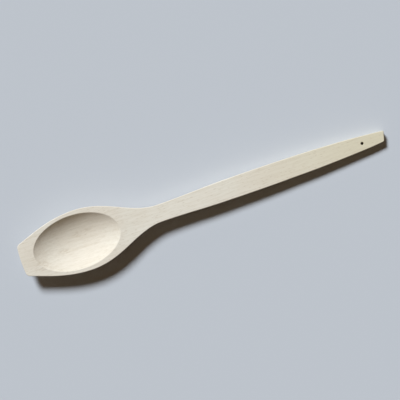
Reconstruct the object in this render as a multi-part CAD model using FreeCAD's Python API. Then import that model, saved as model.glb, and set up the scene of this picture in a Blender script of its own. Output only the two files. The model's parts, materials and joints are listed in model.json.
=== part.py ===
import FreeCAD, Part
import math
import os

# A flat-topped cooking spoon, sawn and carved from one board of beech, in millimetres.
# While it is shaped, x runs from the corners of the bowl's tip to the handle's tail, y across the
# board, and z = 0 is the board's flat upper face, with the wood below it.
# At the end the spoon is laid down as it lies on a table, on its bowl and its tail.

# Driving dimensions: the outline seen from above
LENGTH = 300.0
TIP_WIDTH = 24.9
TIP_BOW = 0.75
BOWL_WIDTH = 49.0
NECK_WIDTH = 13.8
HANDLE_WIDTH = 16.7
TAIL_WIDTH = 8.2
TAIL_SKEW = 2.2
TAIL_BEND = 0.5
BOWL_WIDEST_FROM_TIP = 50.7
NECK_FROM_TIP = 113.9
HANDLE_WIDEST_FROM_TAIL = 116.0
TIP_CORNER_RADIUS = 3.2
TAIL_CORNER_RADIUS = 1.2

# Driving dimensions: the hollow that holds the food
RIM_WIDTH = 3.2
TIP_LAND = 10.2
THROAT_LAND = 32.9
HOLLOW_DEPTH = 9.5

# Driving dimensions: thickness of the wood
FLOOR_THICKNESS = 4.5
TIP_THICKNESS = 3.8
RIM_THICKNESS = 5.2
NECK_THICKNESS = 9.2
TAIL_THICKNESS = 6.4
HANDLE_CROWN = 1.0

# Driving dimensions: sanded edges and the hanging hole
TOP_EDGE_RADIUS = 0.5
LOWER_EDGE_RADIUS = 1.0
RIM_EDGE_RADIUS = 0.7
HOLE_DIAMETER = 2.4
HOLE_FROM_TAIL = 18.1
HOLE_OFF_MIDDLE = 0.5
HOLE_MOUTH_RADIUS = 0.25

# How far a cut runs past the wood, and how near two places count as one
OVERRUN = 6.0
NEAR = 0.001

# Pulls of the outline's curves, as shares of the stretch between two driving places
TIP_PULL_SHARE = 0.36
TIP_RISE_SHARE = 0.55
BOWL_FRONT_PULL_SHARE = 0.37
BOWL_BACK_PULL_SHARE = 0.41
NECK_FRONT_PULL_SHARE = 0.33
NECK_BACK_PULL_SHARE = 0.364
HANDLE_FRONT_PULL_SHARE = 0.554
HANDLE_BACK_PULL_SHARE = 0.327
TAIL_PULL_SHARE = 0.30
TAIL_RISE_SHARE = 0.86

# Steepness of the underside where it leaves the tip, as a share of a straight ramp to the bowl
TIP_RAMP_SHARE = 1.9

# The most of its wall or corner that a rounded edge may take up, as a share
ROUND_LIMIT_SHARE = 0.9

# How finely the underside is worked out, along and across the spoon,
# and how far past the outline it reaches, as a share of the half width
STATIONS_ALONG = 55
PLACES_ACROSS = 9
UNDERSIDE_REACH_SHARE = 1.25

# How finely the outline is searched for its width, and the keel for the place that the bowl rests on
WIDTH_HALVINGS = 50
REST_STEPS = 400

# Worked out from the driving dimensions
BOWL_THICKNESS = HOLLOW_DEPTH + FLOOR_THICKNESS
HOLLOW_HALF_WIDTH = BOWL_WIDTH / 2 - RIM_WIDTH
HOLLOW_HALF_LENGTH = (NECK_FROM_TIP - THROAT_LAND - TIP_LAND) / 2
HOLLOW_FROM_TIP = TIP_LAND + HOLLOW_HALF_LENGTH
HANDLE_WIDEST_FROM_TIP = LENGTH - HANDLE_WIDEST_FROM_TAIL
HOLE_FROM_TIP = LENGTH - HOLE_FROM_TAIL
UP = FreeCAD.Vector(0, 0, 1)
ALONG = FreeCAD.Vector(1, 0, 0)
ACROSS = FreeCAD.Vector(0, 1, 0)


def point(x, y=0.0, z=0.0):
    return FreeCAD.Vector(x, y, z)


def side_end(side):
    """How far from the tip a side ends. The tail is sawn a little off square, by its skew."""
    return LENGTH + side * TAIL_SKEW / 2


def outline_curves(side):
    """The four curves of one side of the outline, from tip to tail; side is 1 or -1.
    They run on smoothly at the widest bowl, the narrowest neck and the widest handle.
    From there the handle bends a little to one side, as far as the tail's bend."""
    tip = TIP_WIDTH / 2
    bowl = BOWL_WIDTH / 2
    neck = NECK_WIDTH / 2
    handle = HANDLE_WIDTH / 2
    tail = TAIL_WIDTH / 2 - side * TAIL_BEND
    bowl_x = BOWL_WIDEST_FROM_TIP
    neck_x = NECK_FROM_TIP
    handle_x = HANDLE_WIDEST_FROM_TIP
    throat_run = neck_x - bowl_x
    grip_run = handle_x - neck_x
    tail_run = LENGTH - handle_x
    tip_to_bowl = [
        (0, tip),
        (TIP_PULL_SHARE * bowl_x, tip + TIP_RISE_SHARE * (bowl - tip)),
        (bowl_x - BOWL_FRONT_PULL_SHARE * bowl_x, bowl),
        (bowl_x, bowl),
    ]
    bowl_to_neck = [
        (bowl_x, bowl),
        (bowl_x + BOWL_BACK_PULL_SHARE * throat_run, bowl),
        (neck_x - NECK_FRONT_PULL_SHARE * throat_run, neck),
        (neck_x, neck),
    ]
    neck_to_handle = [
        (neck_x, neck),
        (neck_x + NECK_BACK_PULL_SHARE * grip_run, neck),
        (handle_x - HANDLE_FRONT_PULL_SHARE * grip_run, handle),
        (handle_x, handle),
    ]
    handle_to_tail = [
        (handle_x, handle),
        (handle_x + HANDLE_BACK_PULL_SHARE * tail_run, handle),
        (LENGTH - TAIL_PULL_SHARE * tail_run, tail + TAIL_RISE_SHARE * (handle - tail)),
        (side_end(side), tail),
    ]
    curves = []
    for poles in (tip_to_bowl, bowl_to_neck, neck_to_handle, handle_to_tail):
        curve = Part.BezierCurve()
        curve.setPoles([point(x, side * y) for x, y in poles])
        curves.append(curve)
    return curves


def side_place(x, side):
    """Where one side of the outline lies at x, found by halving the stretch of curve that x lies on.
    Past the end of a side it is where the side ends."""
    curves = outline_curves(side)
    for curve in curves:
        if x <= curve.EndPoint.x:
            low = 0
            high = 1
            for halving in range(WIDTH_HALVINGS):
                middle = (low + high) / 2
                if curve.value(middle).x < x:
                    low = middle
                else:
                    high = middle
            return curve.value(high).y
    return curves[-1].EndPoint.y


def half_width(x):
    return (side_place(x, 1) - side_place(x, -1)) / 2


def middle_place(x):
    """Where the middle between the two sides lies at x."""
    return (side_place(x, 1) + side_place(x, -1)) / 2


def ease(share):
    """A smooth step from 0 to 1, level and without curvature at both ends."""
    return share ** 3 * (10 - 15 * share + 6 * share ** 2)


def keel_thickness(x):
    """Thickness of the wood along the middle of the spoon, measured from the upper face's level."""
    if x <= HOLLOW_FROM_TIP:
        share = x / HOLLOW_FROM_TIP
        gain = BOWL_THICKNESS - TIP_THICKNESS
        ramp = TIP_RAMP_SHARE * share * (1 - share) ** 3
        return TIP_THICKNESS + gain * (ramp + ease(share))
    if x <= NECK_FROM_TIP:
        share = (x - HOLLOW_FROM_TIP) / (NECK_FROM_TIP - HOLLOW_FROM_TIP)
        return BOWL_THICKNESS + (NECK_THICKNESS - BOWL_THICKNESS) * ease(share)
    share = (x - NECK_FROM_TIP) / (LENGTH - NECK_FROM_TIP)
    return NECK_THICKNESS + (TAIL_THICKNESS - NECK_THICKNESS) * share * share


def edge_thickness(x):
    """Thickness of the wood along the outline, before the lower edge is rounded.
    The handle's crowned underside runs out flat at the tail, which rests on its full width."""
    if x <= HOLLOW_FROM_TIP:
        share = x / HOLLOW_FROM_TIP
        return TIP_THICKNESS + (RIM_THICKNESS - TIP_THICKNESS) * ease(share)
    if x <= NECK_FROM_TIP:
        share = (x - HOLLOW_FROM_TIP) / (NECK_FROM_TIP - HOLLOW_FROM_TIP)
        neck_edge = NECK_THICKNESS - HANDLE_CROWN
        return RIM_THICKNESS + (neck_edge - RIM_THICKNESS) * ease(share)
    share = (x - NECK_FROM_TIP) / (LENGTH - NECK_FROM_TIP)
    return keel_thickness(x) - HANDLE_CROWN * (1 - ease(share))


def limited(radius, wall):
    """The radius of a rounded edge, or what its wall leaves room for if that is less."""
    return min(radius, ROUND_LIMIT_SHARE * wall)


def tip_corner_radius():
    return limited(TIP_CORNER_RADIUS, TIP_WIDTH / 2)


def tail_corner_radius():
    return limited(TAIL_CORNER_RADIUS, TAIL_WIDTH / 2)


def top_edge_radius():
    return limited(TOP_EDGE_RADIUS, min(tail_corner_radius(), tip_corner_radius()))


def lower_edge_radius():
    thinnest = min(TIP_THICKNESS, RIM_THICKNESS, NECK_THICKNESS - HANDLE_CROWN, TAIL_THICKNESS)
    wall = min(thinnest - top_edge_radius(), tail_corner_radius(), tip_corner_radius())
    return limited(LOWER_EDGE_RADIUS, wall)


def upright_edges(solid, x):
    """The solid's edges that stand upright at x."""
    found = []
    for edge in solid.Edges:
        box = edge.BoundBox
        if box.XLength < NEAR and box.YLength < NEAR and abs(box.XMin - x) < NEAR:
            found.append(edge)
    return found


def sawn_board():
    """The outline sawn out of the board, with the tip's and the tail's corners rounded.
    The tip's end bows out a little between its corners."""
    left = outline_curves(1)
    right = outline_curves(-1)
    tip_end = Part.Arc(right[0].StartPoint, point(-TIP_BOW), left[0].StartPoint)
    tail_end = Part.LineSegment(left[-1].EndPoint, right[-1].EndPoint)
    edges = [curve.toShape() for curve in [*left, tail_end, *right, tip_end]]
    outline = Part.Wire(Part.__sortEdges__(edges))
    board = Part.Face(outline).extrude(UP * -(BOWL_THICKNESS + OVERRUN))
    board = board.makeFillet(tip_corner_radius(), upright_edges(board, 0))
    tail_corners = upright_edges(board, side_end(1)) + upright_edges(board, side_end(-1))
    return board.makeFillet(tail_corner_radius(), tail_corners)


def space_below():
    """The space under the spoon. Its upper face crosses each station as a parabola, which is the
    keel thickness deep in the middle and the edge thickness deep at the outline."""
    rows = []
    spacing = (LENGTH + 2 * OVERRUN) / (STATIONS_ALONG - 1)
    for station in range(STATIONS_ALONG):
        x = station * spacing - OVERRUN
        outline_x = min(max(x, 0), LENGTH)
        width = half_width(outline_x)
        middle = middle_place(outline_x)
        keel = keel_thickness(x)
        edge = edge_thickness(x)
        row = []
        for place in range(PLACES_ACROSS):
            share = UNDERSIDE_REACH_SHARE * (2 * place / (PLACES_ACROSS - 1) - 1)
            depth = edge + (keel - edge) * (1 - share * share)
            row.append(point(x, middle + share * width, -depth))
        rows.append(row)
    underside = Part.BSplineSurface()
    underside.interpolate(rows)
    return underside.toShape().extrude(UP * -(BOWL_THICKNESS + 2 * OVERRUN))


def upper_face(solid):
    """The flat face at z = 0."""
    for face in solid.Faces:
        box = face.BoundBox
        if box.ZLength < NEAR and abs(box.ZMax) < NEAR:
            return face


def lower_face(solid):
    """The carved underside: the largest face that looks down."""
    looking_down = [face for face in solid.Faces if face.normalAt(*face_middle(face)).z < 0]
    return max(looking_down, key=lambda face: face.Area)


def face_middle(face):
    u_start, u_end, v_start, v_end = face.ParameterRange
    return (u_start + u_end) / 2, (v_start + v_end) / 2


def scoop():
    """The food hollow as a spheroid round an axis above the spoon. Its height is such that it cuts
    the upper face in an ellipse of the hollow's length and width, at the hollow's depth."""
    rise = (HOLLOW_HALF_WIDTH ** 2 - HOLLOW_DEPTH ** 2) / (2 * HOLLOW_DEPTH)
    cross_radius = rise + HOLLOW_DEPTH
    long_radius = HOLLOW_HALF_LENGTH * cross_radius / HOLLOW_HALF_WIDTH
    middle = point(HOLLOW_FROM_TIP, 0, rise)
    long_end = middle + ALONG * long_radius
    cross_end = middle + UP * cross_radius
    ellipse = Part.Ellipse(long_end, cross_end, middle)
    half = Part.ArcOfEllipse(ellipse, 0, math.pi).toShape()
    axis = Part.LineSegment(middle - ALONG * long_radius, long_end).toShape()
    profile = Part.Face(Part.Wire([half, axis]))
    return profile.revolve(middle, ALONG, 360)


def hole_drill():
    """The hanging hole's drill, set by eye in the handle where it bends to one side."""
    depth = TAIL_THICKNESS + NECK_THICKNESS + OVERRUN
    start = point(HOLE_FROM_TIP, -HOLE_OFF_MIDDLE, OVERRUN)
    return Part.makeCylinder(HOLE_DIAMETER / 2, depth, start, UP * -1)


def rim_edges(solid):
    """The edges of the upper face that bound the hollow."""
    face = upper_face(solid)
    inner_wires = [wire for wire in face.Wires if not wire.isSame(face.OuterWire)]
    return [edge for wire in inner_wires for edge in wire.Edges]


def hole_edges(solid):
    """The round edges at both mouths of the hanging hole."""
    for face in solid.Faces:
        surface = face.Surface
        if isinstance(surface, Part.Cylinder) and abs(surface.Radius - HOLE_DIAMETER / 2) < NEAR:
            if abs(surface.Center.x - HOLE_FROM_TIP) < NEAR:
                return [edge for edge in face.Edges if edge.BoundBox.ZLength < HOLE_DIAMETER / 2]


def carved_spoon():
    """The spoon with its upper face level at z = 0 and its tip's corners at x = 0."""
    spoon = sawn_board().cut(space_below())
    spoon = spoon.makeFillet(lower_edge_radius(), lower_face(spoon).Edges)
    spoon = spoon.makeFillet(top_edge_radius(), upper_face(spoon).Edges)
    spoon = spoon.cut(scoop())
    spoon = spoon.makeFillet(RIM_EDGE_RADIUS, rim_edges(spoon))
    spoon = spoon.cut(hole_drill())
    return spoon.makeFillet(HOLE_MOUTH_RADIUS, hole_edges(spoon))


def rest_tilt():
    """The angle in degrees that lowers the tail until the bowl and the tail touch one table."""
    tail_x = LENGTH - lower_edge_radius()
    tail_depth = keel_thickness(tail_x)
    slopes = []
    for step in range(REST_STEPS):
        x = NECK_FROM_TIP * step / REST_STEPS
        slopes.append((keel_thickness(x) - tail_depth) / (tail_x - x))
    return math.degrees(math.atan(max(slopes)))


def rest_placement(shaped):
    """Where the shaped spoon lies on the table at z = 0, with the middle of its box over the origin."""
    turn = FreeCAD.Rotation(ACROSS, rest_tilt())
    turned = shaped.transformed(FreeCAD.Placement(point(0), turn).toMatrix())
    box = turned.optimalBoundingBox(False, False)
    return FreeCAD.Placement(point(-box.Center.x, -box.Center.y, -box.ZMin), turn)


os.makedirs("parts", exist_ok=True)
spoon = carved_spoon()
placement = rest_placement(spoon)
spoon.Placement = placement
spoon.exportStep("parts/spoon.step")

print("volume", spoon.Volume)
print("upper face looks along", placement.Rotation.multVec(UP))
print("hollow middle, upper face", placement.multVec(point(HOLLOW_FROM_TIP)))
print("hollow middle, deepest", placement.multVec(point(HOLLOW_FROM_TIP, 0, -HOLLOW_DEPTH)))
hole_depth = keel_thickness(HOLE_FROM_TIP)
print("hole, upper mouth", placement.multVec(point(HOLE_FROM_TIP, -HOLE_OFF_MIDDLE)))
print("hole, lower mouth", placement.multVec(point(HOLE_FROM_TIP, -HOLE_OFF_MIDDLE, -hole_depth)))
print("handle, upper face", placement.multVec(point(HANDLE_WIDEST_FROM_TIP)))
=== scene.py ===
import json
import math

import bmesh
import bpy
import numpy as np
from mathutils import Matrix


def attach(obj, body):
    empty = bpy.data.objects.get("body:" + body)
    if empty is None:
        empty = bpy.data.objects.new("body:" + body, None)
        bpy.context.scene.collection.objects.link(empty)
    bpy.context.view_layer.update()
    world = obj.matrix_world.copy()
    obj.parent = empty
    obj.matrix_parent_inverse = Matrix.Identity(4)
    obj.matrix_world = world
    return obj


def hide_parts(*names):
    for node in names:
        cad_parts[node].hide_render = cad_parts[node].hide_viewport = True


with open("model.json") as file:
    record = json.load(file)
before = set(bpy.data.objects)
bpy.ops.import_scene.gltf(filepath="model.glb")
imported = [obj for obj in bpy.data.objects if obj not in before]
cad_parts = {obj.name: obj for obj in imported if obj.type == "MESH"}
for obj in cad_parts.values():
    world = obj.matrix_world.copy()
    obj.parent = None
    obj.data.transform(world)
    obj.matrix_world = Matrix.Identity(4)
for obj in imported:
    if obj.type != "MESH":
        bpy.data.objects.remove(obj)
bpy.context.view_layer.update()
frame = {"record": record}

# A flat-topped cooking spoon, sawn and carved from one board of beech, in metres.
# While it is worked out, x runs from the corners of the bowl's tip to the handle's tail, y across the
# board, and z = 0 is the board's flat upper face. The frame then says how it lies on the table.

# Outline seen from above
LENGTH = 0.3000
TIP_WIDTH = 0.0249
TIP_BOW = 0.00075
TIP_BOW_REACH = 0.0090
BOWL_WIDTH = 0.0490
NECK_WIDTH = 0.0138
HANDLE_WIDTH = 0.0167
TAIL_WIDTH = 0.0082
TAIL_SKEW = 0.0022
TAIL_SKEW_REACH = 0.0120
TAIL_BEND = 0.0005
BOWL_WIDEST_FROM_TIP = 0.0507
NECK_FROM_TIP = 0.1139
HANDLE_WIDEST_FROM_TIP = 0.1840
TIP_CORNER_RADIUS = 0.0032
TAIL_CORNER_RADIUS = 0.0012

# Hollow that holds the food
RIM_WIDTH = 0.0032
TIP_LAND = 0.0102
THROAT_LAND = 0.0329
HOLLOW_DEPTH = 0.0095

# Thickness of the wood
BOWL_THICKNESS = 0.0140
TIP_THICKNESS = 0.0038
RIM_THICKNESS = 0.0052
NECK_THICKNESS = 0.0092
TAIL_THICKNESS = 0.0064
HANDLE_CROWN = 0.0010

# Sanded edges and the hanging hole
TOP_EDGE_RADIUS = 0.0005
LOWER_EDGE_RADIUS = 0.0010
RIM_EDGE_RADIUS = 0.0007
HOLE_RADIUS = 0.0012
HOLE_FROM_TIP = 0.2819
HOLE_OFF_MIDDLE = 0.00050
HOLE_SLIDE_REACH = 0.0050
HOLE_MOUTH_RADIUS = 0.00025

# Pulls of the outline's curves, as shares of the stretch between two driving places
TIP_PULL_SHARE = 0.36
TIP_RISE_SHARE = 0.55
BOWL_FRONT_PULL_SHARE = 0.37
BOWL_BACK_PULL_SHARE = 0.41
NECK_FRONT_PULL_SHARE = 0.33
NECK_BACK_PULL_SHARE = 0.364
HANDLE_FRONT_PULL_SHARE = 0.554
HANDLE_BACK_PULL_SHARE = 0.327
TAIL_PULL_SHARE = 0.30
TAIL_RISE_SHARE = 0.86
TIP_RAMP_SHARE = 1.9

# Unevenness that sanding by hand leaves, marks that carving leaves in the hollow, and how much an
# edge's radius varies: heights, lengths and widths of waves, and turns in degrees
SANDING_HEIGHT = 0.00004
SANDING_SHORTEST = 0.009
SANDING_LONGEST = 0.045
SANDING_WAVES = 28
SANDING_SEED = 7
CARVING_HEIGHT = 0.000010
CARVING_NARROWEST = 0.0024
CARVING_WIDEST = 0.0065
CARVING_LENGTH_SHARE = 3.2
CARVING_SLANT = 9.0
CARVING_SLANT_SPREAD = 8.0
CARVING_WAVES = 36
CARVING_SEED = 19
CARVING_FADE_COLUMNS = 6
EDGE_VARIATION_SHARE = 0.16
EDGE_WAVE_LENGTHS = (0.043, 0.027, 0.0165)

# Rows of the spoon's skin round half the outline, from the middle of the tail to the middle of the tip
TAIL_END_ROWS = 7
TAIL_CORNER_ROWS = 10
TAIL_SIDE_ROWS = 14
HOLE_ROWS = 34
HANDLE_ROWS = 190
BOWL_ROWS = 200
TIP_CORNER_ROWS = 14
TIP_END_ROWS = 24

# Columns of the skin, from the middle of the upper face over the edge to the middle of the underside
FLAT_SHARES = (0.0, 0.04, 0.2, 0.4, 0.6, 0.8, 0.96, 1.0)
ROUND_COLUMNS = 8
WALL_COLUMNS = 5
UNDERSIDE_COLUMNS = 26
RIM_COLUMNS = 6
HOLLOW_COLUMNS = 40
HOLE_COLUMNS = 8
CURVE_STEPS = 1200

# Where the rows of the skin end on the middle line near the tail and the tip, and how far
# along the side the rows that reach the hole and the rim's throat end are spread
TAIL_LINE_START = 0.0035
TAIL_LINE_END = 0.0065
TIP_LINE_START = 0.0150
TIP_LINE_END = 0.0030
HOLE_REACH = 0.0040
THROAT_REACH = 0.0030

# Rim angles, from the throat end, that face these places along the bowl's side
RIM_PLACES = (0.0735, 0.0465, 0.0186)
RIM_PLACE_ANGLES = (45.0, 90.0, 135.0)
RIM_CORNER_ANGLES = (158.0, 163.0)

# How near two points of the skin are before they are one
WELD = 0.000001

# Worked out from the sizes above
HOLLOW_HALF_WIDTH = BOWL_WIDTH / 2 - RIM_WIDTH
HOLLOW_HALF_LENGTH = (NECK_FROM_TIP - THROAT_LAND - TIP_LAND) / 2
HOLLOW_FROM_TIP = TIP_LAND + HOLLOW_HALF_LENGTH
HOLLOW_RISE = (HOLLOW_HALF_WIDTH ** 2 - HOLLOW_DEPTH ** 2) / (2 * HOLLOW_DEPTH)
HOLLOW_CROSS_RADIUS = HOLLOW_RISE + HOLLOW_DEPTH
HOLLOW_LONG_RADIUS = HOLLOW_HALF_LENGTH * HOLLOW_CROSS_RADIUS / HOLLOW_HALF_WIDTH
HOLLOW_FOCUS = math.sqrt(HOLLOW_HALF_LENGTH ** 2 - HOLLOW_HALF_WIDTH ** 2)
THROAT_FROM_TIP = HOLLOW_FROM_TIP + HOLLOW_HALF_LENGTH
HOLE_MOUTH = HOLE_RADIUS + HOLE_MOUTH_RADIUS

# The upper face as the frame has it
TOP_FACE = {mount["name"]: mount for mount in frame["record"]["mounts"]}["top_face"]


def bezier(poles):
    """A cubic curve: the poles weighted by (1-s)^3, 3s(1-s)^2, 3s^2(1-s) and s^3, for s from 0 to 1."""
    share = np.linspace(0, 1, CURVE_STEPS)[:, None]
    start, start_pull, end_pull, end = np.array(poles)
    rest = 1 - share
    return (
        rest ** 3 * start
        + 3 * rest ** 2 * share * start_pull
        + 3 * rest * share ** 2 * end_pull
        + share ** 3 * end
    )


def side_curve():
    """One side of the outline from tip to tail: four cubic curves that meet at the widest bowl,
    the narrowest neck and the widest handle, where the side runs along the spoon."""
    tip = TIP_WIDTH / 2
    bowl = BOWL_WIDTH / 2
    neck = NECK_WIDTH / 2
    handle = HANDLE_WIDTH / 2
    tail = TAIL_WIDTH / 2
    bowl_x = BOWL_WIDEST_FROM_TIP
    neck_x = NECK_FROM_TIP
    handle_x = HANDLE_WIDEST_FROM_TIP
    throat_run = neck_x - bowl_x
    grip_run = handle_x - neck_x
    tail_run = LENGTH - handle_x
    tip_to_bowl = [
        (0, tip),
        (TIP_PULL_SHARE * bowl_x, tip + TIP_RISE_SHARE * (bowl - tip)),
        (bowl_x - BOWL_FRONT_PULL_SHARE * bowl_x, bowl),
        (bowl_x, bowl),
    ]
    bowl_to_neck = [
        (bowl_x, bowl),
        (bowl_x + BOWL_BACK_PULL_SHARE * throat_run, bowl),
        (neck_x - NECK_FRONT_PULL_SHARE * throat_run, neck),
        (neck_x, neck),
    ]
    neck_to_handle = [
        (neck_x, neck),
        (neck_x + NECK_BACK_PULL_SHARE * grip_run, neck),
        (handle_x - HANDLE_FRONT_PULL_SHARE * grip_run, handle),
        (handle_x, handle),
    ]
    handle_to_tail = [
        (handle_x, handle),
        (handle_x + HANDLE_BACK_PULL_SHARE * tail_run, handle),
        (LENGTH - TAIL_PULL_SHARE * tail_run, tail + TAIL_RISE_SHARE * (handle - tail)),
        (LENGTH, tail),
    ]
    stretches = [tip_to_bowl, bowl_to_neck, neck_to_handle, handle_to_tail]
    points = [bezier(poles)[:-1] for poles in stretches]
    return np.concatenate(points + [np.array([[LENGTH, tail]])])


SIDE = side_curve()
SIDE_SLOPE = np.gradient(SIDE[:, 1], SIDE[:, 0])


def half_width(x):
    """Half the spoon's width at x, between the points of its side."""
    return np.interp(x, SIDE[:, 0], SIDE[:, 1])


def side_normal(x):
    """The direction that looks away from the spoon at x on its side: across the side's slope."""
    slope = np.interp(x, SIDE[:, 0], SIDE_SLOPE)
    length = np.sqrt(1 + slope ** 2)
    return np.stack([-slope / length, 1 / length], axis=-1)


def ease(share):
    """A smooth step from 0 to 1, level and without curvature at both ends: 10s^3 - 15s^4 + 6s^5."""
    return share ** 3 * (10 - 15 * share + 6 * share ** 2)


def keel_thickness(x):
    """Thickness along the middle line: a ramp and a smooth step from the tip to the hollow's middle,
    a smooth step from there to the neck, and a falling parabola from the neck to the tail."""
    front = np.clip(x / HOLLOW_FROM_TIP, 0, 1)
    ramp = TIP_RAMP_SHARE * front * (1 - front) ** 3
    tip_to_bowl = TIP_THICKNESS + (BOWL_THICKNESS - TIP_THICKNESS) * (ramp + ease(front))
    throat = np.clip((x - HOLLOW_FROM_TIP) / (NECK_FROM_TIP - HOLLOW_FROM_TIP), 0, 1)
    bowl_to_neck = BOWL_THICKNESS + (NECK_THICKNESS - BOWL_THICKNESS) * ease(throat)
    grip = np.clip((x - NECK_FROM_TIP) / (LENGTH - NECK_FROM_TIP), 0, 1)
    neck_to_tail = NECK_THICKNESS + (TAIL_THICKNESS - NECK_THICKNESS) * grip ** 2
    return np.select([x <= HOLLOW_FROM_TIP, x <= NECK_FROM_TIP], [tip_to_bowl, bowl_to_neck], neck_to_tail)


def edge_thickness(x):
    """Thickness along the outline: smooth steps from tip to rim and from rim to neck, and then the
    keel's thickness less a crown that a smooth step takes away towards the tail."""
    front = np.clip(x / HOLLOW_FROM_TIP, 0, 1)
    tip_to_bowl = TIP_THICKNESS + (RIM_THICKNESS - TIP_THICKNESS) * ease(front)
    throat = np.clip((x - HOLLOW_FROM_TIP) / (NECK_FROM_TIP - HOLLOW_FROM_TIP), 0, 1)
    neck_edge = NECK_THICKNESS - HANDLE_CROWN
    bowl_to_neck = RIM_THICKNESS + (neck_edge - RIM_THICKNESS) * ease(throat)
    grip = np.clip((x - NECK_FROM_TIP) / (LENGTH - NECK_FROM_TIP), 0, 1)
    neck_to_tail = keel_thickness(x) - HANDLE_CROWN * (1 - ease(grip))
    return np.select([x <= HOLLOW_FROM_TIP, x <= NECK_FROM_TIP], [tip_to_bowl, bowl_to_neck], neck_to_tail)


def underside_depth(x, y):
    """Depth of the underside below the upper face: a parabola across each station, as deep as the keel
    in the middle and as the edge at the outline."""
    edge = edge_thickness(x)
    across = y / half_width(x)
    return edge + (keel_thickness(x) - edge) * (1 - across ** 2)


def hollow_depth(x, y):
    """Depth of the hollow below the upper face: a spheroid whose long axis lies above the spoon."""
    long_share = (x - HOLLOW_FROM_TIP) / HOLLOW_LONG_RADIUS
    cross_share = y / HOLLOW_CROSS_RADIUS
    return HOLLOW_CROSS_RADIUS * np.sqrt(1 - long_share ** 2 - cross_share ** 2) - HOLLOW_RISE


def corner_place(radius, middle_x):
    """Where a corner's arc of this radius, with its middle at middle_x, touches the side."""
    middles = SIDE[:, 0] - radius * side_normal(SIDE[:, 0])[:, 0]
    return np.interp(middle_x, middles, SIDE[:, 0])


def steps(start, end, count):
    """Evenly spaced values that leave the end to the stretch that follows."""
    return np.linspace(start, end, count, endpoint=False)


def straight_end(x, ys, direction):
    """A sawn end: points at x, looking along the spoon."""
    points = np.stack([np.full_like(ys, x), ys], axis=-1)
    normals = np.stack([np.full_like(ys, direction), np.zeros_like(ys)], axis=-1)
    return points, normals


def corner_arc(middle, radius, angles):
    """A rounded corner: the middle of its arc plus the radius along each angle."""
    normals = np.stack([np.cos(angles), np.sin(angles)], axis=-1)
    return middle + radius * normals, normals


def outline_rows():
    """Half the outline as points and outward directions, from the middle of the tail round to the
    middle of the tip: a straight end, an arc, the side, an arc and a straight end."""
    tail_x = corner_place(TAIL_CORNER_RADIUS, LENGTH - TAIL_CORNER_RADIUS)
    tip_x = corner_place(TIP_CORNER_RADIUS, TIP_CORNER_RADIUS)
    tail_normal = side_normal(tail_x)
    tip_normal = side_normal(tip_x)
    tail_middle = np.array([tail_x, half_width(tail_x)]) - TAIL_CORNER_RADIUS * tail_normal
    tip_middle = np.array([tip_x, half_width(tip_x)]) - TIP_CORNER_RADIUS * tip_normal
    tail_angle = math.atan2(tail_normal[1], tail_normal[0])
    tip_angle = math.atan2(tip_normal[1], tip_normal[0])
    side_x = np.concatenate([
        steps(tail_x, HOLE_FROM_TIP + HOLE_REACH, TAIL_SIDE_ROWS),
        steps(HOLE_FROM_TIP + HOLE_REACH, HOLE_FROM_TIP - HOLE_REACH, HOLE_ROWS),
        steps(HOLE_FROM_TIP - HOLE_REACH, THROAT_FROM_TIP + THROAT_REACH, HANDLE_ROWS),
        steps(THROAT_FROM_TIP + THROAT_REACH, tip_x, BOWL_ROWS),
    ])
    side = np.stack([side_x, half_width(side_x)], axis=-1)
    stretches = [
        straight_end(LENGTH, steps(0, tail_middle[1], TAIL_END_ROWS), 1),
        corner_arc(tail_middle, TAIL_CORNER_RADIUS, steps(0, tail_angle, TAIL_CORNER_ROWS)),
        (side, side_normal(side_x)),
        corner_arc(tip_middle, TIP_CORNER_RADIUS, steps(tip_angle, math.pi, TIP_CORNER_ROWS)),
        straight_end(0, np.linspace(tip_middle[1], 0, TIP_END_ROWS), -1),
    ]
    points = np.concatenate([stretch[0] for stretch in stretches])
    normals = np.concatenate([stretch[1] for stretch in stretches])
    return points, normals


def rim_angles(bowl_side_x):
    """The rim's angle that each row of the bowl ends at: 0 at the throat, half a turn at the tip."""
    places = [THROAT_FROM_TIP + THROAT_REACH, *RIM_PLACES, bowl_side_x[-1]]
    angles = np.radians([0, *RIM_PLACE_ANGLES, RIM_CORNER_ANGLES[0]])
    corner_start, corner_end = np.radians(RIM_CORNER_ANGLES)
    return np.concatenate([
        np.interp(bowl_side_x, places[::-1], angles[::-1]),
        steps(corner_start, corner_end, TIP_CORNER_ROWS + 1)[1:],
        np.linspace(corner_end, math.pi, TIP_END_ROWS),
    ])


def rim_round(angles):
    """How the rim is rounded at each angle: the rim's place, the outward direction across it, the wall's
    slope there, and the length of flat that the round takes up, which is its radius times tan(slope / 2)."""
    x = HOLLOW_HALF_LENGTH * np.cos(angles)
    y = HOLLOW_HALF_WIDTH * np.sin(angles)
    gradient_x = x / HOLLOW_LONG_RADIUS ** 2
    gradient_y = y / HOLLOW_CROSS_RADIUS ** 2
    steepness = np.hypot(gradient_x, gradient_y) * HOLLOW_CROSS_RADIUS ** 2 / HOLLOW_RISE
    slope = np.arctan(steepness)
    outward = np.stack([gradient_x, gradient_y], axis=-1)
    outward /= np.linalg.norm(outward, axis=-1, keepdims=True)
    rim = np.stack([HOLLOW_FROM_TIP + x, y], axis=-1)
    return rim, outward, slope, RIM_EDGE_RADIUS * np.tan(slope / 2)


def middle_line(start, end, count):
    """Points on the spoon's middle line, without the last."""
    x = steps(start, end, count)
    return np.stack([x, np.zeros_like(x)], axis=-1)


def hole_circle(radius):
    """Half a circle round the hanging hole, from its tail side to its tip side."""
    angles = np.linspace(0, math.pi, HOLE_ROWS + 1)
    return np.stack([HOLE_FROM_TIP + radius * np.cos(angles), radius * np.sin(angles)], axis=-1)


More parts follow.
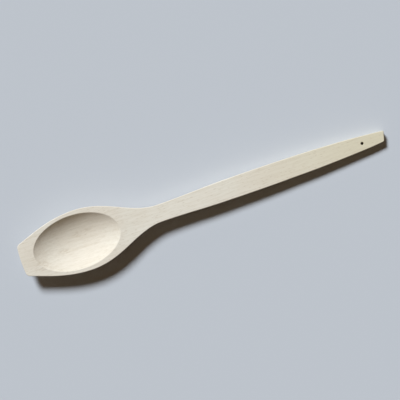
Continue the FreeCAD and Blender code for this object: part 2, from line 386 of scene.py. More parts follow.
def inner_ends(rim_start):
    """Where each row ends on the upper face and on the underside: on the middle line, round the
    hanging hole, and above also along the rim, whose first point is rim_start."""
    tail = middle_line(LENGTH - TAIL_LINE_START, LENGTH - TAIL_LINE_END, TAIL_END_ROWS + TAIL_CORNER_ROWS)
    behind_hole = middle_line(LENGTH - TAIL_LINE_END, HOLE_FROM_TIP + HOLE_MOUTH, TAIL_SIDE_ROWS)
    hole = hole_circle(HOLE_MOUTH)[:-1]
    handle = middle_line(HOLE_FROM_TIP - HOLE_MOUTH, rim_start[0, 0], HANDLE_ROWS)
    shared = np.concatenate([tail, behind_hole, hole, handle])
    bowl_line = middle_line(rim_start[0, 0], TIP_LINE_START, BOWL_ROWS + TIP_CORNER_ROWS)
    tip_line_x = np.linspace(TIP_LINE_START, TIP_LINE_END, TIP_END_ROWS)
    tip_line = np.stack([tip_line_x, np.zeros_like(tip_line_x)], axis=-1)
    above = np.concatenate([shared, rim_start])
    below = np.concatenate([shared, bowl_line, tip_line])
    return above, below


def uneven_radius(radius, points):
    """An edge's radius as sanding leaves it: waves of three lengths along the outline, added up."""
    along = np.concatenate([[0], np.cumsum(np.linalg.norm(np.diff(points, axis=0), axis=1))])
    waves = sum(np.cos(2 * math.pi * along / length) for length in EDGE_WAVE_LENGTHS)
    return radius * (1 + EDGE_VARIATION_SHARE * waves / len(EDGE_WAVE_LENGTHS))


def placed(flat, depth):
    """Points of the spoon from places seen from above and depths below the upper face."""
    return np.concatenate([flat, -depth[..., None]], axis=-1)


def skin_surface(points, normals, above, below):
    """The spoon's skin as rows round the outline: flat from the upper inner end to the edge, a quarter
    round, a straight wall, a round that ends along the underside's slope, and the underside itself."""
    top_radius = uneven_radius(TOP_EDGE_RADIUS, points)[:, None]
    low_radius = uneven_radius(LOWER_EDGE_RADIUS, points[::-1])[::-1][:, None]
    inward = -normals[:, None, :]
    outline = points[:, None, :]

    shares = np.array(FLAT_SHARES)[None, :, None]
    edge_start = outline + inward * top_radius[..., None]
    flat = above[:, None, :] + shares * (edge_start - above[:, None, :])
    upper_face = placed(flat, np.zeros(flat.shape[:2]))

    turn = np.linspace(0, math.pi / 2, ROUND_COLUMNS + 1)[None, 1:]
    inset = top_radius * (1 - np.sin(turn))
    upper_round = placed(outline + inward * inset[..., None], top_radius * (1 - np.cos(turn)))

    edge_depth = underside_depth(points[:, 0], points[:, 1])[:, None]
    probe = points - normals * LOWER_EDGE_RADIUS
    fall = underside_depth(probe[:, 0], probe[:, 1])[:, None] - edge_depth
    slope = np.arctan(fall / LOWER_EDGE_RADIUS)
    round_turn = math.pi / 2 - slope
    wall_end = edge_depth - low_radius * np.tan(round_turn / 2)

    wall_shares = np.linspace(0, 1, WALL_COLUMNS + 1)[None, 1:]
    wall_depth = top_radius + wall_shares * (wall_end - top_radius)
    wall_flat = np.repeat(outline, WALL_COLUMNS, axis=1)
    wall = placed(wall_flat, wall_depth)

    turn = round_turn * np.linspace(0, 1, ROUND_COLUMNS + 1)[None, 1:]
    inset = low_radius * (1 - np.cos(turn))
    lower_round = placed(outline + inward * inset[..., None], wall_end + low_radius * np.sin(turn))

    shares = np.linspace(0, 1, UNDERSIDE_COLUMNS + 1)[None, 1:]
    start = lower_round[:, -1:, :2]
    flat = start + shares[..., None] * (below[:, None, :] - start)
    step = -lower_round[:, -1:, 2] - underside_depth(start[..., 0], start[..., 1])
    depth = underside_depth(flat[..., 0], flat[..., 1]) + step * (1 - shares) ** 4
    underside = placed(flat, depth)

    return np.concatenate([upper_face, upper_round, wall, lower_round, underside], axis=1)


def hollow_surface(angles, rim, outward, slope, flat_length):
    """The hollow as rows from the rim to the line between the rim's two focal points: a round that
    turns by the wall's slope, then the spheroid along straight lines seen from above."""
    turn = slope[:, None] * np.linspace(0, 1, RIM_COLUMNS + 1)[None, :]
    out = flat_length[:, None] - RIM_EDGE_RADIUS * np.sin(turn)
    rim_flat = rim[:, None, :] + outward[:, None, :] * out[..., None]
    rim_edge = placed(rim_flat, RIM_EDGE_RADIUS * (1 - np.cos(turn)))

    focal_x = HOLLOW_FROM_TIP + HOLLOW_FOCUS * np.cos(angles)
    focal = np.stack([focal_x, np.zeros_like(focal_x)], axis=-1)
    shares = np.linspace(0, 1, HOLLOW_COLUMNS + 1)[None, 1:]
    start = rim_edge[:, -1:, :2]
    flat = start + shares[..., None] * (focal[:, None, :] - start)
    step = -rim_edge[:, -1:, 2] - hollow_depth(start[..., 0], start[..., 1])
    depth = hollow_depth(flat[..., 0], flat[..., 1]) + step * (1 - shares) ** 4
    return np.concatenate([rim_edge, placed(flat, depth)], axis=1)


def hole_surface():
    """The hanging hole's wall: a quarter round at the upper mouth, a straight wall, and a quarter
    round that meets the underside."""
    mouth = hole_circle(HOLE_MOUTH)[:, None, :]
    middle = np.array([HOLE_FROM_TIP, 0])
    outward = (mouth - middle) / HOLE_MOUTH
    low = underside_depth(mouth[..., 0], mouth[..., 1])
    turn = np.linspace(0, math.pi / 2, HOLE_COLUMNS)[None, :]
    upper_out = HOLE_MOUTH - HOLE_MOUTH_RADIUS * np.sin(turn)
    upper_depth = HOLE_MOUTH_RADIUS * (1 - np.cos(turn)) + np.zeros_like(low)
    lower_out = HOLE_RADIUS + HOLE_MOUTH_RADIUS * (1 - np.cos(turn))
    lower_depth = low - HOLE_MOUTH_RADIUS * (1 - np.sin(turn))
    upper = placed(middle + outward * upper_out[..., None], upper_depth)
    lower = placed(middle + outward * lower_out[..., None], lower_depth)
    return np.concatenate([upper, lower], axis=1)


def grid_faces(surface, first):
    """Four-cornered faces between neighbouring rows and columns, as numbers of points from first on."""
    rows, columns = surface.shape[:2]
    numbers = first + np.arange(rows * columns).reshape(rows, columns)
    corners = [numbers[:-1, :-1], numbers[:-1, 1:], numbers[1:, 1:], numbers[1:, :-1]]
    return np.stack(corners, axis=-1).reshape(-1, 4)


def sanding(points):
    """Height of the sanding's unevenness: waves of seeded lengths, directions and phases, added up."""
    draw = np.random.default_rng(SANDING_SEED)
    directions = draw.normal(size=(SANDING_WAVES, 3))
    directions /= np.linalg.norm(directions, axis=1, keepdims=True)
    lengths = draw.uniform(SANDING_SHORTEST, SANDING_LONGEST, SANDING_WAVES)
    phases = draw.uniform(0, 2 * math.pi, SANDING_WAVES)
    sizes = lengths / SANDING_LONGEST
    waves = np.cos(2 * math.pi * (points @ directions.T) / lengths + phases)
    return SANDING_HEIGHT * (waves @ sizes) / math.sqrt(SANDING_WAVES / 2)


def carving(points):
    """Height of the carving's marks: seeded waves across the grain, added up, each stretched along it
    and turned by a small slant."""
    draw = np.random.default_rng(CARVING_SEED)
    slants = np.radians(draw.normal(CARVING_SLANT, CARVING_SLANT_SPREAD, CARVING_WAVES))
    widths = draw.uniform(CARVING_NARROWEST, CARVING_WIDEST, CARVING_WAVES)
    phases = draw.uniform(0, 2 * math.pi, CARVING_WAVES)
    lengths = widths * CARVING_LENGTH_SHARE * draw.choice([-1, 1], CARVING_WAVES)
    along = points[:, :1] * np.cos(slants) + points[:, 1:2] * np.sin(slants)
    across = points[:, 1:2] * np.cos(slants) - points[:, :1] * np.sin(slants)
    waves = np.cos(2 * math.pi * (along / lengths + across / widths) + phases)
    return CARVING_HEIGHT * (waves @ (widths / CARVING_WIDEST)) / math.sqrt(CARVING_WAVES / 2)


def hump(columns):
    """Shares over a rounded edge: a half wave that is 0 where the round starts and ends."""
    return np.sin(np.linspace(0, math.pi, columns + 1))


def edge_columns():
    """How much each column of the skin and of the hollow lies on a rounded edge."""
    skin = np.concatenate([
        np.zeros(len(FLAT_SHARES)),
        hump(ROUND_COLUMNS)[1:],
        np.zeros(WALL_COLUMNS),
        hump(ROUND_COLUMNS)[1:],
        np.zeros(UNDERSIDE_COLUMNS),
    ])
    hollow = np.concatenate([hump(RIM_COLUMNS), np.zeros(HOLLOW_COLUMNS)])
    return skin, hollow


def carved_columns():
    """How much each column of the hollow shows the carving: 0 on the rim, then a ramp up to 1."""
    ramp = np.clip(np.arange(HOLLOW_COLUMNS) / CARVING_FADE_COLUMNS, 0, 1)
    return np.concatenate([np.zeros(RIM_COLUMNS + 1), ease(ramp)])


def skewed(points):
    """Points with the tail sawn off square: each moves along the spoon by its share of the half width,
    times half the skew, times a smooth step over the last stretch before the tail's end."""
    near_end = np.clip((points[:, 0] - LENGTH + TAIL_SKEW_REACH) / TAIL_SKEW_REACH, 0, 1)
    moved = points.copy()
    moved[:, 0] += TAIL_SKEW / TAIL_WIDTH * points[:, 1] * ease(near_end)
    return moved


def tail_bend(x):
    """How far the handle is bent to one side at x: the bend times s^3 + 3(1-rise)s^2(1-s), where s is
    the share of the outline's last curve at x and rise is how far that curve's last pull rises."""
    share = np.linspace(0, 1, CURVE_STEPS)
    stretch = SIDE[-CURVE_STEPS:, 0]
    along = np.interp(x, stretch, share)
    return TAIL_BEND * along ** 2 * (along + 3 * (1 - TAIL_RISE_SHARE) * (1 - along))


def bent(points):
    """Points with the handle bent to one side towards its tail."""
    moved = points.copy()
    moved[:, 1] -= tail_bend(points[:, 0])
    return moved


def bowed(points):
    """Points with the tip's end bowed out: each moves along the spoon by the bow, times a parabola that
    is 1 in the middle and 0 at the tip's corners, times a smooth step that ends at the bow's reach."""
    across = np.clip(points[:, 1] / (TIP_WIDTH / 2), -1, 1)
    near_tip = np.clip(1 - points[:, 0] / TIP_BOW_REACH, 0, 1)
    moved = points.copy()
    moved[:, 0] -= TIP_BOW * (1 - across ** 2) * ease(near_tip)
    return moved


def drilled_aside(points):
    """Points with the hole drilled off the middle of the bent handle: each moves sideways by what the
    bend there leaves of the hole's offset, times a smooth step that falls from 1 at the hole's mouth to
    0 at the end of its reach."""
    away = np.hypot(points[:, 0] - HOLE_FROM_TIP, points[:, 1])
    near_hole = np.clip((HOLE_SLIDE_REACH - away) / (HOLE_SLIDE_REACH - HOLE_MOUTH), 0, 1)
    moved = points.copy()
    moved[:, 1] -= (HOLE_OFF_MIDDLE - tail_bend(HOLE_FROM_TIP)) * ease(near_hole)
    return moved


def spoon_axes():
    """Directions along the spoon, across it and up from its upper face, as the frame lays it."""
    up = np.array(TOP_FACE["axis"])
    across = np.array([0, 1, 0])
    return np.cross(across, up), across, up


def laid_down(points):
    """Points turned and moved from the level board to where the frame's upper face lies."""
    along, across, up = spoon_axes()
    start = np.array(TOP_FACE["pos_m"]) - HANDLE_WIDEST_FROM_TIP * along
    return start + points @ np.stack([along, across, up])


def half_surfaces():
    """The skin, the hollow and the hole's wall of one half. With each comes whether its faces are turned
    round, and how much each of its columns lies on a rounded edge and shows the carving."""
    points, normals = outline_rows()
    last = len(points) - TIP_END_ROWS - TIP_CORNER_ROWS
    angles = rim_angles(points[last - BOWL_ROWS:last, 0])
    rim, outward, slope, flat_length = rim_round(angles)
    above, below = inner_ends(rim + outward * flat_length[:, None])
    skin = skin_surface(points, normals, above, below)
    hollow = hollow_surface(angles, rim, outward, slope, flat_length)
    hole = hole_surface()
    skin_edge, hollow_edge = edge_columns()
    plain_skin = np.zeros_like(skin_edge)
    plain_hole = np.zeros(hole.shape[1])
    return [
        (skin, False, skin_edge, plain_skin),
        (hollow, True, hollow_edge, carved_columns()),
        (hole, True, plain_hole, plain_hole),
    ]


def spoon_mesh():
    """The surfaces of one half and their mirror image across the middle line, with the tail skewed, the
    tip bowed, the hole moved and the handle bent, welded into one closed mesh."""
    half = []
    faces = []
    shares = []
    count = 0
    for surface, turned, edge, carved in half_surfaces():
        corners = grid_faces(surface, count)
        faces.append(corners[:, ::-1] if turned else corners)
        half.append(surface.reshape(-1, 3))
        shares.append(np.tile(np.stack([edge, carved], axis=-1), (len(surface), 1)))
        count += len(half[-1])
    half = np.concatenate(half)
    faces = np.concatenate(faces)
    shares = np.concatenate(shares + shares)
    mirror = np.array([1, -1, 1])
    level = np.concatenate([half, half * mirror])
    shaped = bent(drilled_aside(bowed(skewed(level))))
    all_faces = np.concatenate([faces, faces[:, ::-1] + count])

    mesh = bpy.data.meshes.new("beech_spoon")
    mesh.from_pydata(shaped.tolist(), [], all_faces.tolist())
    for name, values in zip(("edge", "carved"), shares.T):
        layer = mesh.attributes.new(name, "FLOAT", "POINT")
        layer.data.foreach_set("value", values.astype(np.float32))
    welded = bmesh.new()
    welded.from_mesh(mesh)
    bmesh.ops.remove_doubles(welded, verts=welded.verts, dist=WELD)
    bmesh.ops.recalc_face_normals(welded, faces=welded.faces)
    welded.to_mesh(mesh)
    welded.free()
    return mesh


def read_rows(data, name, columns):
    """One value of all points of a mesh, as an array with that many columns."""
    values = np.empty(len(data) * columns, np.float32)
    data.foreach_get(name, values)
    return values.reshape(-1, columns).astype(float)


def sanded(mesh):
    """Moves each point along its normal by the sanding's unevenness and, in the hollow, by the carving's
    marks, then lays the spoon down."""
    places = read_rows(mesh.vertices, "co", 3)
    looks = read_rows(mesh.vertex_normals, "vector", 3)
    carved = read_rows(mesh.attributes["carved"].data, "value", 1)[:, 0]
    heights = sanding(places) + carved * carving(places)
    places = laid_down(places + looks * heights[:, None])
    mesh.vertices.foreach_set("co", places.astype(np.float32).ravel())
    mesh.polygons.foreach_set("use_smooth", np.ones(len(mesh.polygons), bool))
    mesh.update()
    return mesh


# Colours of the wood, of the floor, and of the room, which looks as the lit floor does,
# as sRGB shares of full brightness
PALE_WOOD = (0.890, 0.846, 0.773)
ROSY_WOOD = (0.878, 0.825, 0.748)
HANDLED_WOOD = (0.845, 0.793, 0.678)
LATE_WOOD = (0.764, 0.695, 0.589)
FLECK_WOOD = (0.703, 0.615, 0.502)
END_WOOD = (0.759, 0.685, 0.570)
BURNISHED_WOOD = (0.900, 0.852, 0.773)
FLOOR_COLOUR = (0.763, 0.762, 0.766)
ROOM_COLOUR = (0.738, 0.762, 0.792)

# Grain: how the lines run, in metres and degrees, and how long and wide each kind of mark is
GRAIN_SLANT = 1.4
GRAIN_WANDER = 0.0012
GRAIN_WANDER_LENGTH = 0.070
RING_SPACING = 0.0031
RING_UNEVENNESS = 2.4
RING_UNEVENNESS_LENGTH = 0.060
PITH_ACROSS = -0.105
PITH_UP = -0.022
FIBRE_LENGTH = 0.0090
FIBRE_WIDTH = 0.0009
STREAK_LENGTH = 0.085
STREAK_WIDTH = 0.0042
FLECK_LENGTH = 0.0038
FLECK_WIDTH = 0.0008
WRINKLE_LENGTH = 0.0070
WRINKLE_WIDTH = 0.0009
WRINKLE_SLANT = -8.0
MOTTLE_SIZE = 0.038
HANDLED_START = -0.004
HANDLED_END = 0.155

# Places where the blade tore the grain: how far from the tip and from the middle line, half the
# length and half the width of each, and the length, width and slant of the marks in them
TORN_PLACES = (
    (0.0505, 0.0060, 0.0100, 0.0036),
    (0.0135, -0.0092, 0.0075, 0.0050),
    (0.0330, -0.0030, 0.0060, 0.0040),
)
TORN_LENGTH = 0.0050
TORN_WIDTH = 0.0012
TORN_SLANT = -8.0

# Marks of the sawn ends: rays that run away from the pith, and pores between them
RAY_LENGTH = 0.0022
RAY_WIDTH = 0.00028
PORE_SIZE = 0.00022

# Octaves of noise in fine, middling and coarse marks, and how strong each octave is as a share of the
# one before, in the fine marks and in the others
FINE_OCTAVES = 3.0
MIDDLING_OCTAVES = 2.0
COARSE_OCTAVES = 1.0
FINE_OCTAVE_SHARE = 0.55
OCTAVE_SHARE = 0.5

# Where each mark starts and where it is full, as shares of the noise, the cell or the slope behind it
MOTTLE_BAND_SHARES = (0.35, 0.65)
RING_BAND_SHARES = (0.3, 1.0)
STREAK_BAND_SHARES = (0.48, 0.78)
FIBRE_BAND_SHARES = (0.45, 0.80)
FLECK_BAND_SHARES = (0.38, 0.12)
FLECK_CHOICE_SHARES = (0.35, 0.8)
WRINKLE_BAND_SHARES = (0.45, 0.75)
TORN_BAND_SHARES = (0.47, 0.60)
TORN_PLACE_SHARES = (1.0, 0.55)
RAY_BAND_SHARES = (0.52, 0.70)
PORE_BAND_SHARES = (0.55, 0.72)
END_SLOPE_SHARES = (0.35, 0.9)
UPWARD_SLOPE_SHARES = (0.2, 0.6)
GLOSS_BAND_SHARES = (0.3, 0.8)

# Strongest share of each mark's colour that is mixed into the wood, and the share of the flecks that
# is left in the hollow
RING_SHARE = 0.12
STREAK_SHARE = 0.26
FIBRE_SHARE = 0.34
FLECK_SHARE = 0.40
CARVED_FLECK_SHARE = 0.45
WRINKLE_SHARE = 0.12
TORN_SHARE = 0.24
END_SHARE = 0.75
END_MARK_SHARE = 0.45
BURNISHED_SHARE = 0.25

# Gloss, the height of the fibres, and the depth of the other marks as shares of that height
SMOOTHEST = 0.60
ROUGHEST = 0.74
SPECULAR_LEVEL = 0.25
GRAIN_HEIGHT = 0.00004
FLECK_DEPTH_SHARE = 0.3
WRINKLE_DEPTH_SHARE = 0.65
TORN_DEPTH_SHARE = 1.3
END_MARK_DEPTH_SHARE = 0.5

# A wave texture repeats this often in a turn of its angle
WAVE_TURNS = 20

# Numbers of the sockets of a colour mix: its share, its two colours and its result
MIX_SHARE_SOCKET = 0
MIX_FIRST_SOCKET = 6
MIX_SECOND_SOCKET = 7
MIX_RESULT_SOCKET = 2


def linear(colour):
    """A colour as light: each sRGB share c becomes ((c + 0.055) / 1.055)^2.4, or c / 12.92 if very dark."""
    shares = np.array(colour)
    light = np.where(shares > 0.04045, ((shares + 0.055) / 1.055) ** 2.4, shares / 12.92)
    return (*light.tolist(), 1.0)


def new_material(name):
    """A material and its shader."""
    material = bpy.data.materials.new(name)
    material.use_nodes = True
    return material, material.node_tree.nodes["Principled BSDF"]


def add_node(tree, kind, settings=None, inputs=None):
    """A node with its settings, and with each input, by name or number, linked to a socket or set."""
    node = tree.nodes.new(kind)
    for name, value in (settings or {}).items():
        setattr(node, name, value)
    for name, value in (inputs or {}).items():
        if isinstance(value, bpy.types.NodeSocket):
            tree.links.new(value, node.inputs[name])
        else:
            node.inputs[name].default_value = value
    return node


def math_node(tree, operation, first, second):
    """Two values put together by one operation."""
    inputs = {0: first, 1: second}
    return add_node(tree, "ShaderNodeMath", {"operation": operation}, inputs).outputs["Value"]


def multiplied(tree, first, second):
    """One value times another."""
    return math_node(tree, "MULTIPLY", first, second)


def larger(tree, first, second):
    """The larger of two values."""
    return math_node(tree, "MAXIMUM", first, second)


def mix_colour(tree, share, first, second):
    """The first colour with a share of the second mixed into it."""
    inputs = {MIX_SHARE_SOCKET: share, MIX_FIRST_SOCKET: first, MIX_SECOND_SOCKET: second}
    return add_node(tree, "ShaderNodeMix", {"data_type": "RGBA"}, inputs).outputs[MIX_RESULT_SOCKET]


def remap(tree, value, band, ends=(0.0, 1.0)):
    """A smooth step from one end to the other, as the value crosses the band."""
    inputs = {
        "Value": value,
        "From Min": band[0],
        "From Max": band[1],
        "To Min": ends[0],
        "To Max": ends[1],
    }
    settings = {"interpolation_type": "SMOOTHSTEP"}
    return add_node(tree, "ShaderNodeMapRange", settings, inputs).outputs["Result"]


def mapped(tree, place, scale=(1, 1, 1), turn=(0, 0, 0), shift=(0, 0, 0)):
    """Places scaled, then turned by angles in degrees, then shifted."""
    inputs = {
        "Vector": place,
        "Scale": scale,
        "Rotation": tuple(math.radians(angle) for angle in turn),
        "Location": shift,
    }
    return add_node(tree, "ShaderNodeMapping", {"vector_type": "POINT"}, inputs).outputs["Vector"]


def stretched(tree, place, length, width, slant=0.0):
    """Places with one unit to a length along the grain and to a width across it, turned by a slant."""
    turned = mapped(tree, place, turn=(0, 0, slant))
    return mapped(tree, turned, scale=(1 / length, 1 / width, 1 / width))


def noise_node(tree, place, octaves, octave_share=OCTAVE_SHARE):
    """Noise with one unit to a place: octaves of half the size each, every one weaker by the share."""
    inputs = {"Vector": place, "Scale": 1.0, "Detail": octaves, "Roughness": octave_share}
    return add_node(tree, "ShaderNodeTexNoise", None, inputs)


def noise(tree, place, octaves, octave_share=OCTAVE_SHARE):
    """The same noise as one value from 0 to 1."""
    return noise_node(tree, place, octaves, octave_share).outputs["Fac"]


def marked(tree, name):
    """The mesh's own share of that name."""
    return add_node(tree, "ShaderNodeAttribute", {"attribute_name": name}).outputs["Fac"]


def grain_place(tree):
    """Object coordinates that wander a little across the grain, so that no line runs quite straight."""
    place = add_node(tree, "ShaderNodeTexCoord").outputs["Object"]
    slow = stretched(tree, place, GRAIN_WANDER_LENGTH, GRAIN_WANDER_LENGTH)
    wander = noise_node(tree, slow, COARSE_OCTAVES).outputs["Color"]
    reach = (0, GRAIN_WANDER, GRAIN_WANDER)
    inputs = {0: wander, 1: reach, 2: place}
    return add_node(tree, "ShaderNodeVectorMath", {"operation": "MULTIPLY_ADD"}, inputs).outputs["Vector"]


def growth_rings(tree, place):
    """Late wood of the growth rings: a saw wave of the distance from a pith far to the side."""
    scale = 2 * math.pi / WAVE_TURNS / RING_SPACING
    settings = {"wave_type": "RINGS", "rings_direction": "X", "wave_profile": "SAW"}
    rings = add_node(tree, "ShaderNodeTexWave", settings, {
        "Vector": mapped(tree, place, turn=(0, 0, GRAIN_SLANT), shift=(0, -PITH_ACROSS, -PITH_UP)),
        "Scale": scale,
        "Distortion": RING_UNEVENNESS,
        "Detail": MIDDLING_OCTAVES,
        "Detail Scale": 1 / (scale * RING_UNEVENNESS_LENGTH),
    })
    return remap(tree, rings.outputs["Fac"], RING_BAND_SHARES)


def ray_flecks(tree, place):
    """Short dark flecks: the middles of stretched cells, of which only some are taken."""
    cells = add_node(tree, "ShaderNodeTexVoronoi", None, {
        "Vector": stretched(tree, place, FLECK_LENGTH, FLECK_WIDTH, GRAIN_SLANT),
        "Scale": 1.0,
    })
    middles = remap(tree, cells.outputs["Distance"], FLECK_BAND_SHARES)
    draw = add_node(tree, "ShaderNodeSeparateColor", None, {"Color": cells.outputs["Color"]})
    return multiplied(tree, middles, remap(tree, draw.outputs["Red"], FLECK_CHOICE_SHARES))


def end_marks(tree, place, end_grain):
    """Marks of the sawn ends: the larger of two noises, one stretched away from the pith and one fine and
    even all ways, on what faces along the grain."""
    ray_turn = math.degrees(math.atan2(-PITH_UP, -PITH_ACROSS))
    radial = mapped(tree, place, turn=(-ray_turn, 0, 0))
    ray_place = mapped(tree, radial, scale=(0, 1 / RAY_LENGTH, 1 / RAY_WIDTH))
    pore_place = stretched(tree, place, FIBRE_LENGTH, PORE_SIZE)
    rays = remap(tree, noise(tree, ray_place, COARSE_OCTAVES), RAY_BAND_SHARES)
    pores = remap(tree, noise(tree, pore_place, COARSE_OCTAVES), PORE_BAND_SHARES)
    return multiplied(tree, end_grain, larger(tree, rays, pores))


def torn_grain(tree, place, facing_up):
    """Marks where the blade tore the grain: stretched noise inside soft ellipses round the torn places,
    on what faces up."""
    inside = 0.0
    for along, across, half_long, half_wide in TORN_PLACES:
        x, y = laid_down(np.array([[along, across, 0]]))[0, :2]
        scale = (1 / half_long, 1 / half_wide, 0)
        centred = mapped(tree, place, scale, shift=(-x / half_long, -y / half_wide, 0))
        away = add_node(tree, "ShaderNodeVectorMath", {"operation": "LENGTH"}, {"Vector": centred})
        inside = larger(tree, inside, remap(tree, away.outputs["Value"], TORN_PLACE_SHARES))
    mark_place = stretched(tree, place, TORN_LENGTH, TORN_WIDTH, TORN_SLANT)
    marks = remap(tree, noise(tree, mark_place, COARSE_OCTAVES), TORN_BAND_SHARES)
    return multiplied(tree, multiplied(tree, facing_up, inside), marks)


def beech_wood():
    """Bare sanded beech, solid through and through: growth rings, long soft streaks, fine fibres and
    short ray flecks along the grain, a slow change between two pale tones, a yellower handled end,
    darker sawn ends with rays and pores, burnished edges, fine slanting wrinkles where the hollow was
    carved, and a few places where the blade tore the grain."""
    material, shader = new_material("beech_wood")
    tree = material.node_tree
    place = grain_place(tree)
    along = add_node(tree, "ShaderNodeSeparateXYZ", None, {"Vector": place}).outputs["X"]
    facing = add_node(tree, "ShaderNodeTexCoord").outputs["Normal"]
    looks = add_node(tree, "ShaderNodeSeparateXYZ", None, {"Vector": facing}).outputs
    hollowed = marked(tree, "carved")

    fibre_place = stretched(tree, place, FIBRE_LENGTH, FIBRE_WIDTH, GRAIN_SLANT)
    streak_place = stretched(tree, place, STREAK_LENGTH, STREAK_WIDTH, GRAIN_SLANT)
    wrinkle_place = stretched(tree, place, WRINKLE_LENGTH, WRINKLE_WIDTH, WRINKLE_SLANT)
    mottle_place = stretched(tree, place, MOTTLE_SIZE, MOTTLE_SIZE)
    fibres = noise(tree, fibre_place, FINE_OCTAVES, FINE_OCTAVE_SHARE)
    streaks = noise(tree, streak_place, FINE_OCTAVES, FINE_OCTAVE_SHARE)
    wrinkles = remap(tree, noise(tree, wrinkle_place, MIDDLING_OCTAVES), WRINKLE_BAND_SHARES)
    mottle = remap(tree, noise(tree, mottle_place, MIDDLING_OCTAVES), MOTTLE_BAND_SHARES)
    carved = multiplied(tree, wrinkles, hollowed)
    flecks_left = remap(tree, hollowed, (0.0, 1.0), (1.0, CARVED_FLECK_SHARE))
    flecks = multiplied(tree, ray_flecks(tree, place), flecks_left)
    end_grain = remap(tree, multiplied(tree, looks["X"], looks["X"]), END_SLOPE_SHARES)
    ends = end_marks(tree, place, end_grain)
    torn = torn_grain(tree, place, remap(tree, looks["Z"], UPWARD_SLOPE_SHARES))

    handled = remap(tree, along, (HANDLED_START, HANDLED_END))
    colour = mix_colour(tree, mottle, linear(PALE_WOOD), linear(ROSY_WOOD))
    colour = mix_colour(tree, handled, colour, linear(HANDLED_WOOD))
    layers = [
        (end_grain, END_SHARE, END_WOOD),
        (ends, END_MARK_SHARE, FLECK_WOOD),
        (growth_rings(tree, place), RING_SHARE, LATE_WOOD),
        (remap(tree, streaks, STREAK_BAND_SHARES), STREAK_SHARE, LATE_WOOD),
        (remap(tree, fibres, FIBRE_BAND_SHARES), FIBRE_SHARE, LATE_WOOD),
        (flecks, FLECK_SHARE, FLECK_WOOD),
        (carved, WRINKLE_SHARE, LATE_WOOD),
        (torn, TORN_SHARE, FLECK_WOOD),
        (marked(tree, "edge"), BURNISHED_SHARE, BURNISHED_WOOD),
    ]
    for mark, share, tone in layers:
        colour = mix_colour(tree, multiplied(tree, mark, share), colour, linear(tone))
    tree.links.new(colour, shader.inputs["Base Color"])

    roughness = remap(tree, fibres, GLOSS_BAND_SHARES, (SMOOTHEST, ROUGHEST))
    tree.links.new(roughness, shader.inputs["Roughness"])
    shader.inputs["Specular IOR Level"].default_value = SPECULAR_LEVEL

    height = fibres
    depths = [
        (flecks, FLECK_DEPTH_SHARE),
        (carved, WRINKLE_DEPTH_SHARE),
        (torn, TORN_DEPTH_SHARE),
        (ends, END_MARK_DEPTH_SHARE),
    ]
    for mark, share in depths:
        height = math_node(tree, "SUBTRACT", height, multiplied(tree, mark, share))
    bump = add_node(tree, "ShaderNodeBump", None, {"Height": height, "Distance": GRAIN_HEIGHT})
    tree.links.new(bump.outputs["Normal"], shader.inputs["Normal"])
    return material


# Floor, light and camera
FLOOR_HALF_SIZE = 12.0
FLOOR_ROUGHNESS = 0.9
FLOOR_SPECULAR_LEVEL = 0.1
KEY_SPREAD = 17.0
KEY_ELEVATION = 44.0
KEY_TURN = 36.0
KEY_STRENGTH = 4.229
KEY_COLOUR = (0.897, 1.0, 1.113)
FILL_STRENGTH = 0.065
FILL_COLOUR = (1.40, 1.00, 0.60)
ROOM_STRENGTH = 1.0
CAMERA_DISTANCE = 1.0
CAMERA_ROLL = 19.174
SENSOR_WIDTH = 36.0

# The photograph's frame: pixels across, and where the middle of the spoon's length lies in it
PHOTO_PIXELS = 400
PHOTO_SPOON_PIXELS = 383.14
PHOTO_MIDDLE_X = 202.82
PHOTO_MIDDLE_Y = 198.21


def pale_floor():
    """A plain pale floor at the level that the spoon lies on."""
    half = FLOOR_HALF_SIZE
    corners = [(-half, -half, 0), (half, -half, 0), (half, half, 0), (-half, half, 0)]
    mesh = bpy.data.meshes.new("floor")
    mesh.from_pydata(corners, [], [(0, 1, 2, 3)])
    material, shader = new_material("pale_floor")
    shader.inputs["Base Color"].default_value = linear(FLOOR_COLOUR)
    shader.inputs["Roughness"].default_value = FLOOR_ROUGHNESS
    shader.inputs["Specular IOR Level"].default_value = FLOOR_SPECULAR_LEVEL
    mesh.materials.append(material)
    floor = bpy.data.objects.new("floor", mesh)
    bpy.context.scene.collection.objects.link(floor)


def picture_axes():
    """The directions that point right, up and towards the camera in the picture: the camera looks
    square onto the spoon's upper face, with the spoon turned by the roll."""
    along, across, towards = spoon_axes()
    roll = math.radians(CAMERA_ROLL)
    right = math.cos(roll) * along - math.sin(roll) * across
    up = math.sin(roll) * along + math.cos(roll) * across
    return right, up, towards


def matrix_from(right, up, back, place):
    """A placement whose own x, y and z point right, up and back."""
    rows = np.eye(4)
    rows[:3, 0] = right
    rows[:3, 1] = up
    rows[:3, 2] = back
    rows[:3, 3] = place
    return Matrix(rows.tolist())


def key_light():
    """One soft lamp far off to the picture's upper left."""
    right, up, towards_camera = picture_axes()
    turn = math.radians(KEY_TURN)
    rise = math.radians(KEY_ELEVATION)
    level = -math.sin(turn) * right + math.cos(turn) * up
    towards = math.cos(rise) * level + math.sin(rise) * towards_camera
    side = np.cross(up, towards)
    side /= np.linalg.norm(side)
    lamp = bpy.data.lights.new("key", "SUN")
    lamp.angle = math.radians(KEY_SPREAD)
    lamp.energy = KEY_STRENGTH
    lamp.color = KEY_COLOUR
    key = bpy.data.objects.new("key", lamp)
    key.matrix_world = matrix_from(side, np.cross(towards, side), towards, towards)
    bpy.context.scene.collection.objects.link(key)


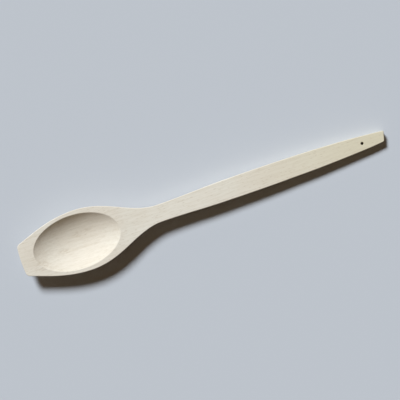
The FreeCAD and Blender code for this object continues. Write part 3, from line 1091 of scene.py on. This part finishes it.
def pale_room():
    """An even, weaker and warmer light from all round, which the camera sees as the lit floor's colour."""
    world = bpy.data.worlds.new("room")
    world.use_nodes = True
    tree = world.node_tree
    fill = tree.nodes["Background"]
    fill.inputs["Color"].default_value = (*FILL_COLOUR, 1.0)
    fill.inputs["Strength"].default_value = FILL_STRENGTH
    inputs = {"Color": linear(ROOM_COLOUR), "Strength": ROOM_STRENGTH}
    pale = add_node(tree, "ShaderNodeBackground", None, inputs)
    rays = add_node(tree, "ShaderNodeLightPath").outputs
    mirrored = larger(tree, rays["Is Glossy Ray"], rays["Is Transmission Ray"])
    seen = larger(tree, rays["Is Camera Ray"], mirrored)
    inputs = {0: seen, 1: fill.outputs["Background"], 2: pale.outputs["Background"]}
    mix = add_node(tree, "ShaderNodeMixShader", None, inputs)
    tree.links.new(mix.outputs["Shader"], tree.nodes["World Output"].inputs["Surface"])
    bpy.context.scene.world = world


def square_camera():
    """A camera above the spoon's upper face, with the spoon's middle where the photograph has it."""
    right, up, towards = picture_axes()
    metres_per_pixel = LENGTH / PHOTO_SPOON_PIXELS
    shift_right = (PHOTO_MIDDLE_X - PHOTO_PIXELS / 2) * metres_per_pixel
    shift_up = (PHOTO_PIXELS / 2 - PHOTO_MIDDLE_Y) * metres_per_pixel
    middle = laid_down(np.array([[LENGTH / 2, 0, 0]]))[0]
    place = middle - shift_right * right - shift_up * up + CAMERA_DISTANCE * towards
    camera = bpy.data.cameras.new("camera")
    camera.sensor_width = SENSOR_WIDTH
    camera.lens = SENSOR_WIDTH * CAMERA_DISTANCE / (PHOTO_PIXELS * metres_per_pixel)
    viewer = bpy.data.objects.new("camera", camera)
    viewer.matrix_world = matrix_from(right, up, towards, place)
    bpy.context.scene.collection.objects.link(viewer)
    bpy.context.scene.camera = viewer


spoon = bpy.data.objects.new("beech_spoon", sanded(spoon_mesh()))
bpy.context.scene.collection.objects.link(spoon)
spoon.data.materials.append(beech_wood())
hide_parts("spoon")
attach(spoon, "root")

pale_floor()
key_light()
pale_room()
square_camera()
bpy.context.scene.view_settings.view_transform = "Standard"
